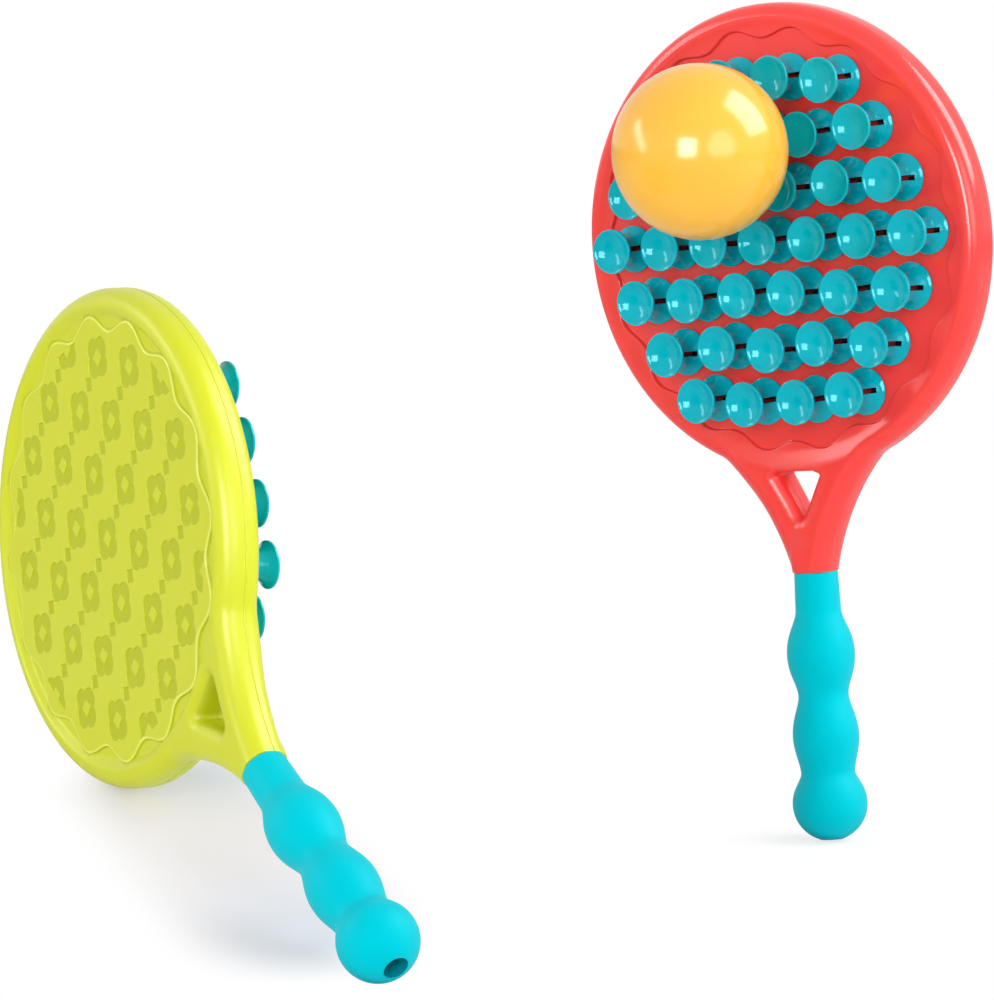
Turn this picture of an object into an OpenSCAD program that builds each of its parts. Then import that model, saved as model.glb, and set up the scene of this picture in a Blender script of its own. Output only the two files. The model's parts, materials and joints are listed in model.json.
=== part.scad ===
// Suction paddle ball set: two alike paddles with rows of soft suction cups, and a hollow ball.
// Millimetres, +Z up. The origin is where a hand holds the coral paddle's grip.
// A paddle is drawn in its own frame and then placed: x runs across the head, y from the middle
// of the head away from the handle, and z out of the face that carries the cups.

/* [Head] */
// Outer radius of the head
head_r = 87.7; // [86:0.1:110]
// Thickness of the head, back rim to front rim
head_t = 17; // [15:0.1:24]
// Height of the front rim over the cup face
rim_up = 3; // [1.5:0.1:4]
// Rounding of the front edges of the head and the throat
front_edge = 6.5; // [4:0.1:7]
// Rounding of their back edges
back_edge = 6.6; // [4:0.1:7]
// Wall of the moulded shells
wall = 2.2; // [1.6:0.1:3]
// Depth of the pan's floor under the crest of the back rim
back_t = 4.4; // [3.8:0.1:5]
// Width of the flat crest of either rim
crest_w = 1.3; // [0.8:0.1:2]
// Fall of the front rim from its crest in to the cup face's edge
front_fall = 1.6; // [0.5:0.1:2]
// Fall of the back rim from its crest in to the raised panel
back_fall = 2.4; // [1.5:0.1:2.8]
// Depth of the parting line under the cup face
seam_drop = 4.6; // [3.6:0.1:5]
// Width and depth of the groove along the parting line
seam_groove = 0.2; // [0.1:0.1:0.8]
// Height of the front shell's plug in the back shell
plug_h = 2; // [1:0.1:3]
// Gap between the plug and the back shell's wall
plug_gap = 0.15; // [0.05:0.05:0.4]

/* [Wavy borders] */
// Mean radius of the wavy edge round the cup face
front_wave_r = 77; // [74:0.1:78]
// Height of that edge's waves, each way
front_wave = 2; // [0.5:0.1:3]
// Number of waves round the cup face
front_waves = 18; // [8:1:30]
// Mean radius of the wavy edge of the raised back panel
back_wave_r = 75.8; // [60:0.1:76]
// Height of that edge's waves, each way
back_wave = 2.7; // [0.5:0.1:3]
// Number of waves round the back panel
back_waves = 16; // [8:1:30]
// Height of the back panel over the foot of the rim
back_up = 1; // [0.5:0.1:1.4]

/* [Back relief] */
// Depth of the relief
relief = 0.5; // [0.2:0.1:0.8]
// Distance between the four-lobed figures in a row
motif_pitch = 24; // [22:0.5:40]
// Distance of a figure's lobes from its middle
lobe_off = 3.9; // [2:0.1:5]
// Radius of a lobe
lobe_r = 4.3; // [2.8:0.1:5]
// Side of the small squares
square_w = 4.6; // [2:0.1:5]
// Plain margin of the panel inside its waves
relief_rim = 1.3; // [0.5:0.1:5]

/* [Throat] */
// Length of the throat from the head's outline to the grip
throat_l = 36.8; // [32:0.1:60]
// Width of the throat where the grip begins
neck_w = 15.9; // [15:0.1:20]
// Height of the throat's front over the handle's axis there
neck_up = 8.1; // [7:0.1:9]
// Depth of the handle's axis under the cup face there
axis_drop = 6; // [5:0.1:7]
// Lean of the handle towards the side with the cups, in degrees
grip_lean = 2; // [0:0.1:4]
// Radius of the throat's hollow sides
flare_r = 92; // [50:1:120]
// Distance that the hollow sides run into the head's outline
flare_in = 3; // [0.1:0.1:4]
// Distance that the three-cornered gap runs into the head's outline
gap_in = 1.4; // [0.5:0.1:2]
// Height of the gap
gap_h = 18.2; // [8:0.1:22]
// Width of the gap at its top
gap_w = 19.6; // [8:0.1:24]
// Rounding of the gap's edges
gap_edge = 5.5; // [2:0.1:6]

/* [Grip] */
// Radius of the core inside the grip
core_r = 6; // [4:0.1:7]
// Length of the core below the top of the grip
core_len = 72; // [40:1:76]
// Gap between the core and the grip
grip_gap = 0.12; // [0.05:0.01:0.3]
// Radius of the grip at its top
grip_r = 8.15; // [7.5:0.05:10]
// Growth of the grip's plain radius down to the ball end
grip_grow = 2.25; // [0:0.05:3]
// Distance from the top of the grip to the first swell
swell_1 = 31; // [25:0.5:40]
// Radius of the first swell
swell_1_r = 12.7; // [10:0.1:15]
// Distance from the top of the grip to the second swell
swell_2 = 61.5; // [50:0.5:70]
// Radius of the second swell
swell_2_r = 12.4; // [10:0.1:15]
// Radius of the swells' own curve along the grip
swell_curve = 24; // [18:0.5:40]
// Distance from the top of the grip to the middle of the ball end
end_at = 87; // [80:0.5:100]
// Radius of the ball end
end_r = 14; // [11:0.1:17]
// Softness of the hollows between the swells
swell_blend = 2.4; // [0.5:0.1:4]
// Radius of the hole in the end
end_hole_r = 4.35; // [2:0.05:6]
// Depth of the hole in the end
end_hole_deep = 22; // [8:0.5:26]
// Distance from the top of the grip to where the hand holds it
hold_at = 43.5; // [30:0.5:60]

/* [Suction cups] */
// Distance between neighbouring cups
cup_pitch = 22.2; // [20:0.1:23.5]
// Share by which the six-sided field is drawn towards round rings
cup_round = 0.27; // [0:0.01:0.4]
// Height of a cup's lip over the face
lip_h = 15.5; // [15:0.1:24]
// Radius of the lip
lip_r = 8.4; // [7.5:0.1:9.5]
// Thickness of the lip's edge
lip_t = 0.6; // [0.4:0.1:1.5]
// Depth of the dish
dish = 3; // [2:0.1:4]
// Radius of the foot on the face
foot_r = 8.8; // [8:0.1:9.6]
// Radius of the waist
waist_r = 4.4; // [4:0.1:5.5]
// Radius of the waist's hollow
hollow_r = 7.6; // [7:0.1:8]
// Height of the waist over the face
waist_h = 8; // [7.6:0.1:9]
// Radius of the peg inside a cup
peg_r = 2; // [1.2:0.1:2.8]
// Height of the peg over the face
peg_h = 10; // [6:0.1:11]
// Gap between a peg and its cup
peg_gap = 0.12; // [0.05:0.01:0.3]
// Width of the slot in a cup's side and foot
slot_w = 2; // [1:0.1:3]
// Reach of the slot from the cup's axis
slot_out = 6.4; // [5:0.1:7.6]
// Height of the slot over the face
slot_h = 9; // [3:0.1:10]

/* [Ball] */
// Diameter of the ball
ball_d = 64.6; // [50:0.1:80]
// Wall of the ball
ball_wall = 1.6; // [1:0.1:3]
// Distance from the head's middle to the ball's, across the head
ball_x = 1.5; // [-10:0.1:10]
// Distance from the head's middle to the ball's, up the head
ball_y = 35.4; // [20:0.1:45]
// Gap between the ball and the plane of the lips
ball_gap = 0.3; // [0.1:0.05:0.8]

/* [Places] */
// Turn of the coral paddle
coral_turn = [90.97, -5.36, -37.45];
// Turn of the lime paddle
lime_turn = [91.78, 57.09, 122.26];
// Middle of the lime paddle's head
lime_at = [-247.28, -129.25, 71.48];

/* [Hidden] */
$fn = 64;
// Levels in a paddle's own frame, from the cup face up
front_z = rim_up;
back_z = rim_up - head_t;
foot_z = back_z + back_fall;
panel_z = foot_z - back_up;
axis_z = -axis_drop;
neck_z = axis_z + neck_up;
seam_z = -seam_drop;
plug_r = head_r - wall - plug_gap;
face_t = wall;
floor_z = back_z + back_t;
// The pan's corner is bevelled up to halfway to the plug
floor_edge = (seam_z - plug_h - floor_z) / 2;
wide_edge = max(front_edge, back_edge);
grip_top = head_r + throat_l;
gap_top = head_r - gap_in;
// Middle of the circle that hollows the throat's side: it passes the throat's lower corner
// and runs into the head's outline
far_r = head_r + flare_r - flare_in;
corner = [neck_w / 2, -grip_top];
corner_d = norm(corner);
along = (far_r * far_r - flare_r * flare_r + corner_d * corner_d) / (2 * corner_d);
aside = sqrt(far_r * far_r - along * along);
flare_c = [
    along * corner[0] / corner_d - aside * corner[1] / corner_d,
    along * corner[1] / corner_d + aside * corner[0] / corner_d
];
joint = flare_c * head_r / far_r;
// The core's root runs this far into the back half of the throat
core_root = 4;
// The grip is drawn this much longer and cut off flush with the throat
grip_spare = 1;
end_tip = end_at + sqrt(end_r * end_r - end_hole_r * end_hole_r);
dish_in = lip_r - lip_t;
dish_r = (dish_in * dish_in + dish * dish) / (2 * dish);
relief_r = back_wave_r - back_wave - relief_rim;
// The slope inside either rim ends a little short of the tips of the waves
front_foot_r = front_wave_r + front_wave - 1.5;
back_foot_r = back_wave_r + back_wave - 0.5;

// Row 1 is at the top of the head, and row 4 is the longest
function cups_in(row) = 7 - abs(row - 4);
function cup_step(row, i) = i - (cups_in(row) + 1) / 2;
function cup_ring(a, b) = max(abs(b), abs(a + b / 2), abs(a - b / 2));
function cup_at(row, i) = let(
        a = cup_step(row, i),
        b = 4 - row,
        q = [a, b * sqrt(3) / 2] * cup_pitch,
        far = norm(q)
    ) far == 0 ? q : q * (1 + cup_round * (cup_ring(a, b) * cup_pitch / far - 1));

// Closed wavy line, with a trough at the top for lift = 180 and a crest there for lift = 0
function wave(mean, high, count, lift) = [
    for (i = [0 : 12 * count - 1])
        let(t = i * 30 / count, r = mean + high * cos(count * t + lift))
        [r * sin(t), r * cos(t)]
];

// Radius of the grip at a distance s below its top
function blend(a, b) = let(h = max(swell_blend - abs(a - b), 0) / swell_blend)
    max(a, b) + h * h * swell_blend / 4;
function arc(s, mid, top, r) = abs(s - mid) < r ? top - r + sqrt(r * r - (s - mid) * (s - mid)) : 0;
function grip_at(s) = blend(
    blend(grip_r + grip_grow * s / end_at, arc(s, end_at, end_r, end_r)),
    blend(arc(s, swell_1, swell_1_r, swell_curve), arc(s, swell_2, swell_2_r, swell_curve))
);
grip_line = concat(
    [for (i = [0 : 43]) let(s = i * end_at / 44) [grip_at(s), s]],
    [for (i = [0 : 14]) let(t = i * acos(end_hole_r / end_r) / 14)
        [end_r * cos(t), end_at + end_r * sin(t)]]
);

// Half section of the head, from its axis out
module head_section() {
    translate([0, back_z]) square([head_r - back_edge, head_t]);
    translate([0, back_z + back_edge]) square([head_r - front_edge, head_t - back_edge]);
    translate([0, back_z + back_edge]) square([head_r, head_t - back_edge - front_edge]);
    translate([head_r - back_edge, back_z + back_edge]) circle(back_edge);
    translate([head_r - front_edge, front_z - front_edge]) circle(front_edge);
}

// What hollows one side of the throat, with the edges left round
module flare() {
    translate([flare_c[0], flare_c[1], 0]) rotate_extrude($fn = 96) difference() {
        translate([0, back_z - 1]) square([flare_r + wide_edge, head_t + 2]);
        translate([flare_r, back_z + back_edge])
            square([2 * wide_edge, head_t - back_edge - front_edge]);
        translate([flare_r + front_edge, front_z - front_edge]) {
            circle(front_edge);
            square([wide_edge, front_edge]);
        }
        translate([flare_r + back_edge, back_z + back_edge]) {
            circle(back_edge);
            translate([0, -back_edge]) square([wide_edge, back_edge]);
        }
    }
}

// Forked throat between the head and the grip, from level low to level high
module throat(low, high) {
    difference() {
        translate([0, 0, low]) linear_extrude(high - low) polygon([
            [-corner[0], corner[1]], corner, joint, joint * 0.8,
            [-joint[0] * 0.8, joint[1] * 0.8], [-joint[0], joint[1]]
        ]);
        flare();
        mirror([1, 0, 0]) flare();
        translate([-head_r, -grip_top, neck_z]) rotate([atan((front_z - neck_z) / throat_l), 0, 0])
            translate([0, -1, 0]) cube([2 * head_r, 2 * throat_l, head_t]);
    }
}

// Room beside one wall of the gap: x runs away from the wall, whose two edges are round
module gap_wall() {
    rotate([90, 0, 0]) linear_extrude(2 * head_r, center = true) {
        translate([0, back_z - 1]) square([head_r, head_t + 2]);
        difference() {
            translate([-gap_edge, front_z - gap_edge]) square([gap_edge, gap_edge + 1]);
            translate([-gap_edge, front_z - gap_edge]) circle(gap_edge);
        }
        difference() {
            translate([-gap_edge, back_z - 1]) square([gap_edge, gap_edge + 1]);
            translate([-gap_edge, back_z + gap_edge]) circle(gap_edge);
        }
    }
}

// Three-cornered gap in the throat
module gap() {
    slant = atan2(gap_w / 2, -gap_h);
    intersection() {
        translate([0, -gap_top, 0]) rotate(-90) gap_wall();
        translate([0, -gap_top - gap_h, 0]) rotate(slant) gap_wall();
        translate([0, -gap_top - gap_h, 0]) rotate(180 - slant) gap_wall();
    }
}

module front_shell() {
    difference() {
        union() {
            rotate_extrude($fn = 128) {
                difference() {
                    head_section();
                    translate([0, back_z - 1]) square([2 * head_r, seam_z - back_z + 1]);
                    translate([0, seam_z - 1]) square([plug_r - wall, -face_t - seam_z + 1]);
                    polygon([
                        [0, front_z - front_fall], [front_foot_r, front_z - front_fall],
                        [head_r - front_edge - crest_w, front_z], [0, front_z + 1]
                    ]);
                }
                translate([plug_r - wall, seam_z - plug_h]) square([wall, plug_h + wall]);
            }
            throat(seam_z, front_z);
        }
        linear_extrude(rim_up + 1) polygon(wave(front_wave_r, front_wave, front_waves, 180));
        gap();
    }
    for (row = [1 : 7], i = [1 : cups_in(row)])
        translate([cup_at(row, i)[0], cup_at(row, i)[1], -face_t / 2])
            cylinder(r = peg_r, h = peg_h + face_t / 2, $fn = 32);
}

// Four-lobed figure with a square left standing in its middle
module figure() {
    difference() {
        for (turn = [0 : 90 : 270]) rotate(turn) translate([lobe_off, 0]) circle(lobe_r, $fn = 32);
        square(square_w, center = true);
    }
}

module back_relief() {
    intersection() {
        circle(relief_r, $fn = 128);
        for (j = [-4 : 4], i = [-4 : 4]) let(
            x = (i + abs(j % 2) / 2) * motif_pitch,
            y = j * motif_pitch * sqrt(3) / 2
        ) if (norm([x, y]) < relief_r + lobe_r / 2) translate([x, y]) figure();
    }
    for (j = [-4 : 4], i = [-4 : 4]) let(
        x = (i + (1 + abs(j % 2)) / 2) * motif_pitch,
        y = j * motif_pitch * sqrt(3) / 2
    ) if (norm([x, y]) < relief_r - square_w) translate([x, y]) rotate(45) square(square_w, center = true);
}

module back_shell() {
    difference() {
        union() {
            rotate_extrude($fn = 128) difference() {
                head_section();
                translate([0, seam_z]) square([2 * head_r, head_t]);
                translate([head_r - seam_groove, seam_z - seam_groove]) square([1, seam_groove + 1]);
                polygon([
                    [0, foot_z], [back_foot_r, foot_z],
                    [head_r - back_edge - crest_w, back_z], [0, back_z - 1]
                ]);
            }
            throat(back_z, seam_z);
            below_throat() on_handle() translate([0, 0, -grip_spare])
                cylinder(r = core_r, h = core_len + grip_spare);
            on_handle() translate([0, -core_r / 2, -core_root])
                cylinder(r = core_r / 2, h = 2 * core_root);
        }
        rotate_extrude($fn = 128) polygon([
            [0, floor_z], [head_r - wall - floor_edge, floor_z],
            [head_r - wall, floor_z + floor_edge], [head_r - wall, seam_z + 1], [0, seam_z + 1]
        ]);
        gap();
    }
    difference() {
        translate([0, 0, panel_z]) linear_extrude(back_up + (floor_z - foot_z) / 2)
            polygon(wave(back_wave_r, back_wave, back_waves, 0));
        translate([0, 0, panel_z - 1]) linear_extrude(relief + 1) back_relief();
    }
}

// From the top of the grip, with z down the handle
module on_handle() {
    translate([0, -grip_top, axis_z]) rotate([90 - grip_lean, 0, 0]) children();
}

module below_throat() {
    difference() {
        children();
        translate([-head_r, -grip_top, -head_r]) cube(2 * head_r);
    }
}

module grip() {
    below_throat() on_handle() difference() {
        rotate_extrude() polygon(concat(
            [[0, -grip_spare], [grip_at(-grip_spare), -grip_spare]], grip_line, [[0, end_tip]]
        ));
        translate([0, 0, -2 * grip_spare])
            cylinder(r = core_r + grip_gap, h = core_len + 2 * grip_spare + grip_gap);
        translate([0, 0, end_tip - end_hole_deep]) cylinder(r = end_hole_r, h = end_hole_deep + 1);
    }
}

module cup() {
    difference() {
        rotate_extrude() difference() {
            polygon([[0, 0], [foot_r, 0], [lip_r, lip_h], [0, lip_h]]);
            translate([waist_r + hollow_r, waist_h]) circle(hollow_r);
        }
        translate([0, 0, lip_h - dish + dish_r]) sphere(dish_r);
        translate([0, 0, -1]) cylinder(r = peg_r + peg_gap, h = peg_h + 1 + peg_gap, $fn = 32);
        translate([0, -slot_w / 2, -1]) cube([slot_out, slot_w, slot_h + 1]);
    }
}

module cup_row(row) {
    for (i = [1 : cups_in(row)]) translate([cup_at(row, i)[0], cup_at(row, i)[1], 0]) cup();
}

module on_coral() {
    rotate(coral_turn) translate([
        0, grip_top + hold_at * cos(grip_lean), -axis_z - hold_at * sin(grip_lean)
    ]) children();
}

module on_lime() {
    translate(lime_at) rotate(lime_turn) children();
}

module coral_front_shell() { color("#fb504c") on_coral() front_shell(); }
module coral_back_shell() { color("#f24843") on_coral() back_shell(); }
module coral_grip() { color("#04cad8") on_coral() grip(); }
module coral_cups_row_1() { color("#08aab9") on_coral() cup_row(1); }
module coral_cups_row_2() { color("#08aab9") on_coral() cup_row(2); }
module coral_cups_row_3() { color("#08aab9") on_coral() cup_row(3); }
module coral_cups_row_4() { color("#08aab9") on_coral() cup_row(4); }
module coral_cups_row_5() { color("#08aab9") on_coral() cup_row(5); }
module coral_cups_row_6() { color("#08aab9") on_coral() cup_row(6); }
module coral_cups_row_7() { color("#08aab9") on_coral() cup_row(7); }
module lime_front_shell() { color("#d9e033") on_lime() front_shell(); }
module lime_back_shell() { color("#d3da2c") on_lime() back_shell(); }
module lime_grip() { color("#04cad8") on_lime() grip(); }
module lime_cups_row_1() { color("#08aab9") on_lime() cup_row(1); }
module lime_cups_row_2() { color("#08aab9") on_lime() cup_row(2); }
module lime_cups_row_3() { color("#08aab9") on_lime() cup_row(3); }
module lime_cups_row_4() { color("#08aab9") on_lime() cup_row(4); }
module lime_cups_row_5() { color("#08aab9") on_lime() cup_row(5); }
module lime_cups_row_6() { color("#08aab9") on_lime() cup_row(6); }
module lime_cups_row_7() { color("#08aab9") on_lime() cup_row(7); }

module ball() {
    color("#fcc94a") on_coral() translate([ball_x, ball_y, lip_h + ball_gap + ball_d / 2])
    difference() {
        sphere(d = ball_d);
        sphere(d = ball_d - 2 * ball_wall);
    }
}

coral_front_shell();
coral_back_shell();
coral_grip();
coral_cups_row_1();
coral_cups_row_2();
coral_cups_row_3();
coral_cups_row_4();
coral_cups_row_5();
coral_cups_row_6();
coral_cups_row_7();
lime_front_shell();
lime_back_shell();
lime_grip();
lime_cups_row_1();
lime_cups_row_2();
lime_cups_row_3();
lime_cups_row_4();
lime_cups_row_5();
lime_cups_row_6();
lime_cups_row_7();
ball();
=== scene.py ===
import json
import math

import bmesh
import bpy
from mathutils import Matrix, Vector
from mathutils.geometry import delaunay_2d_cdt


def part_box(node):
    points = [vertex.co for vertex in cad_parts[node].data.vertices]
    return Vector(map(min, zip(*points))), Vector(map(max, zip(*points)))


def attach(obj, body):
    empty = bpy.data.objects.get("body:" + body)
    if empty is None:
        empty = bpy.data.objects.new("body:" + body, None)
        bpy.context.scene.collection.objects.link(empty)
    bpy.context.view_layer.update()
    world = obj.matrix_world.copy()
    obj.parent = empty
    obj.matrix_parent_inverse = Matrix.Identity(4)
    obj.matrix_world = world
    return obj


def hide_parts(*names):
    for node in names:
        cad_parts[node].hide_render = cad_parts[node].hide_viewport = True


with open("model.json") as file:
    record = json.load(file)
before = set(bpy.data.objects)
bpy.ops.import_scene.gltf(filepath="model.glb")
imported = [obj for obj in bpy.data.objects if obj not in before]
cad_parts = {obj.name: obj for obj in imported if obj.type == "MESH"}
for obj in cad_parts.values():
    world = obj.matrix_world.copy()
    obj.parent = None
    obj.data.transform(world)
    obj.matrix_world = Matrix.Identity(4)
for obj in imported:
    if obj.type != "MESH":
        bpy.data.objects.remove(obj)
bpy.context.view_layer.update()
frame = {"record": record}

# Back shells
# The back half of a paddle is one injection moulding of tough ABS: a round pan with a forked throat
# and a core that runs down into the grip. A raised wavy panel with sunk figures covers its back.

# Millimetres, in a paddle's own frame: x across the head, y up it, z out of the cup face
head_r = 87.7
head_t = 17.0
rim_up = 3.0
back_edge = 6.6
seam_z = -4.6
wall = 2.2
back_t = 4.4
back_fall = 2.4
throat_l = 36.8
neck_w = 15.9
flare_r = 92.0
flare_in = 3.0
flare_blend = 14.0
gap_in = 1.4
gap_h = 18.2
gap_w = 19.6
gap_edge = 5.5
gap_corner = 1.3
core_r = 6.0
core_len = 72.0
hold_at = 43.5
back_wave_r, back_wave, back_waves = 75.8, 2.7, 16
back_up = 1.0
relief = 0.5
motif_pitch = 24.0
lobe_off, lobe_r = 3.9, 4.3
square_w = 4.6
panel_margin = 1.3
relief_r = back_wave_r - back_wave - panel_margin
back_z = rim_up - head_t
panel_z = back_z + back_fall - back_up
grip_top = head_r + throat_l
axis_z = -6.0
grip_lean = math.radians(2)
down_handle = Matrix.Translation((0, -grip_top, axis_z)) @ Matrix.Rotation(math.pi / 2 - grip_lean, 4, "X")

mounts = {m["name"]: m for m in frame["record"]["mounts"]}


def paddle_place(colour):
    """Millimetres in a paddle's own frame to metres in the shared one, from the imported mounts."""
    hold = mounts[colour + "_hold"]
    out = -Vector(mounts[colour + "_back_rest"]["axis"]).normalized()
    side = Vector(hold["axis"]).cross(out).normalized()
    turn = Matrix((side, out.cross(side), out)).transposed().to_4x4()
    lift = Matrix.Translation(-(down_handle @ Vector((0, 0, hold_at))))
    return Matrix.Translation(hold["pos_m"]) @ turn @ Matrix.Scale(0.001, 4) @ lift


place = {colour: paddle_place(colour) for colour in ("coral", "lime")}


def circles_meet(r, centre, radius):
    """The crossing nearest the handle of a circle about the head's middle and another circle."""
    far = centre.length
    out = centre / far
    along = (r * r - radius * radius + far * far) / (2 * far)
    return along * out + math.sqrt(r * r - along * along) * Vector((out.y, -out.x))


# The throat's side is hollowed by a circle that passes the throat's lower corner and runs a little
# into the head, and a small circle blends the two
neck_corner = Vector((neck_w / 2, -grip_top))
flare_far = head_r + flare_r - flare_in
along = (flare_far ** 2 - flare_r ** 2 + neck_corner.length_squared) / (2 * neck_corner.length)
neck_way = neck_corner.normalized()
flare_c = along * neck_way + math.sqrt(flare_far ** 2 - along ** 2) * Vector((-neck_way.y, neck_way.x))
blend_c = circles_meet(head_r + flare_blend, flare_c, flare_r - flare_blend)

gap_points = [
    Vector((-gap_w / 2, gap_in - head_r)),
    Vector((0, gap_in - head_r - gap_h)),
    Vector((gap_w / 2, gap_in - head_r)),
]
gap_sides = [(gap_points[k] - gap_points[k - 1]).length for k in range(3)]
gap_in_r = gap_w * gap_h / sum(gap_sides)
gap_mid = Vector((0, gap_in - head_r - gap_in_r))
gap_core = [gap_mid + (p - gap_mid) * (1 - gap_corner / gap_in_r) for p in gap_points]


def sweep(centre, start, end, radius, count):
    """Points on an arc from one direction to another, without the last."""
    turn = math.atan2(start.x * end.y - start.y * end.x, start.dot(end))
    first = math.atan2(start.y, start.x)
    return [
        centre + radius * Vector((math.cos(first + turn * i / count), math.sin(first + turn * i / count)))
        for i in range(count)
    ]


flare_steps, blend_steps, head_steps = 30, 8, 190


def outline(inset):
    """The paddle's outline seen from the front, drawn in by inset; it starts and ends at the grip."""
    reach = flare_r + inset
    fall = -grip_top - flare_c.y
    foot = Vector((-math.sqrt(reach ** 2 - fall ** 2), fall))
    right = sweep(flare_c, foot, blend_c - flare_c, reach, flare_steps)
    right += sweep(blend_c, blend_c - flare_c, -blend_c, flare_blend + inset, blend_steps)
    right += sweep(Vector((0, 0)), blend_c, Vector((0, 1)), head_r - inset, head_steps)
    left = [Vector((-p.x, p.y)) for p in reversed(right)]
    return right + [Vector((0, head_r - inset))] + left


side_steps, corner_steps = 14, 8


def gap_outline(grow):
    """The throat's three-cornered gap, grown by that much, with round corners."""
    points = []
    for k in range(3):
        a, b, c = gap_core[k], gap_core[(k + 1) % 3], gap_core[(k + 2) % 3]
        out = Vector((-(b - a).y, (b - a).x)).normalized() * -1
        after = Vector((-(c - b).y, (c - b).x)).normalized() * -1
        reach = gap_corner + grow
        points += [a.lerp(b, i / side_steps) + out * reach for i in range(side_steps)]
        points += sweep(b, out, after, reach, corner_steps)
    return points


def cross(a, b):
    return a.x * b.y - a.y * b.x


def from_outline(p):
    """Distance of a point inside the outline from it."""
    q = Vector((abs(p.x), p.y))
    if cross(blend_c, q) >= 0:
        return head_r - q.length
    if cross(blend_c - flare_c, q - flare_c) <= 0:
        return (q - blend_c).length - flare_blend
    return (q - flare_c).length - flare_r


def from_gap(p):
    """Distance of a point from the gap, less than nothing inside it."""
    nearest, inside = 1e9, True
    for k in range(3):
        a, b = gap_core[k], gap_core[(k + 1) % 3]
        t = min(max((p - a).dot(b - a) / (b - a).length_squared, 0), 1)
        nearest = min(nearest, (p - a.lerp(b, t)).length)
        inside = inside and cross(b - a, p - a) > 0
    return (-nearest if inside else nearest) - gap_corner


def rounding(edge, d):
    """How far a rounded edge has dropped at a distance from its outline."""
    return edge - math.sqrt(max(edge * edge - (edge - max(d, 0)) ** 2, 0)) if d < edge else 0.0


def slope(r, crest, width):
    """How far the inside of a rim has fallen at a radius: 0 on its crest, 1 at its foot."""
    t = min(max((crest - r) / width, 0), 1)
    return t * t * (3 - 2 * t)


def edge_insets(edge, count=12):
    return [edge * (1 - math.cos(math.radians(90 * i / count))) for i in range(count + 1)]


def step_profile(height, fillet, draft, count):
    """Places and heights across a moulded step, from low to high, with both its corners filleted."""
    turns = [math.radians(90 * i / count) for i in range(count + 1)]
    low = [(-draft - fillet * (1 - math.sin(t)), fillet * (1 - math.cos(t))) for t in turns]
    high = [(-s, height - z) for s, z in reversed(low)]
    return [(low[0][0] - fillet, 0.0)] + low + high + [(high[-1][0] + fillet, height)]


def height_on(profile, s):
    if s <= profile[0][0]:
        return profile[0][1]
    for (s0, z0), (s1, z1) in zip(profile, profile[1:]):
        if s <= s1:
            return z0 + (z1 - z0) * (s - s0) / (s1 - s0)
    return profile[-1][1]


def ring(radius, count=360):
    return [
        radius * Vector((math.sin(2 * math.pi * i / count), math.cos(2 * math.pi * i / count)))
        for i in range(count)
    ]


def wave_at(p, mean, high, count, lift):
    return mean + high * math.cos(count * math.atan2(p.x, p.y) + lift)


wave_steps = 26


def wave_loop(mean, high, count, lift, offset):
    around = ring(1.0, count * wave_steps)
    return [p.normalized() * (wave_at(p, mean, high, count, lift) + offset) for p in around]


def slope_rings(crest, width, count):
    return [ring(crest - width * i / count) for i in range(count + 1)]


whole_hull, join_within = 0, 1e-5


def triangles(points, edges, loops, inset):
    """Triangles over the paddle's flat shape drawn in by inset, with every edge and loop kept."""
    points, edges = list(points), list(edges)
    for loop in loops:
        first = len(points)
        points += loop
        edges += [(first + i, first + (i + 1) % len(loop)) for i in range(len(loop))]
    points, _, faces, *_ = delaunay_2d_cdt(points, edges, [], whole_hull, join_within)
    mids = [sum((points[i] for i in f), Vector((0, 0))) / 3 for f in faces]
    inside = [min(from_outline(m), from_gap(m)) > inset and m.y > -grip_top for m in mids]
    return points, [f for f, stays in zip(faces, inside) if stays]


def inward(p):
    """The way into the material from a point on the outline or on the gap's edge."""
    if p.y < 1e-4 - grip_top:
        return Vector((-2 * p.x / neck_w, 0))
    field = from_outline if abs(from_outline(p)) < abs(from_gap(p)) else from_gap
    e = 1e-3
    rise = Vector((
        field(p + Vector((e, 0))) - field(p - Vector((e, 0))),
        field(p + Vector((0, e))) - field(p - Vector((0, e))),
    ))
    return rise.normalized()


def moulded_half(loops, height, rows, inner_loops, inner_height, facing):
    """A closed shell: its shown face over the outline, a side of (inset, level) rows, its inside.
    facing is 1 where the shown face looks along +z and -1 where it looks along -z."""
    mesh = bmesh.new()
    points, faces = triangles([], [], [outline(0), gap_outline(0)] + loops, 0)
    verts = [mesh.verts.new((p.x, p.y, height(p))) for p in points]
    for f in faces:
        mesh.faces.new([verts[i] for i in (f if facing > 0 else reversed(f))])
    rim = [e for e in mesh.edges if len(e.link_faces) == 1]
    rim = [next(l for l in e.link_faces[0].loops if l.edge == e) for e in rim]
    rim = [(l.link_loop_next.vert, l.vert) for l in rim]
    last = {v: v for pair in rim for v in pair}
    ways = {v: inward(v.co.xy) for v in last}
    for inset, level in rows:
        row = {v: mesh.verts.new((*(v.co.xy + ways[v] * inset), level)) for v in last}
        for a, b in rim:
            mesh.faces.new((last[a], last[b], row[b], row[a]))
        last = row
    order = {v: i for i, v in enumerate(last.values())}
    pairs = [(order[last[a]], order[last[b]]) for a, b in rim]
    points, faces = triangles([v.co.xy for v in order], pairs, inner_loops, rows[-1][0])
    inner = [mesh.verts.new((p.x, p.y, inner_height(p))) for p in points]
    for f in faces:
        mesh.faces.new([inner[i] for i in (reversed(f) if facing > 0 else f)])
    bmesh.ops.remove_doubles(mesh, verts=mesh.verts[:], dist=2e-4)
    loose = [v for v in mesh.verts if not v.link_faces]
    bmesh.ops.delete(mesh, geom=loose, context="VERTS")
    return mesh


matt_shade_share, matt_shade_from, matt_shade_to = 0.6, 0.5, 5.5


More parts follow.
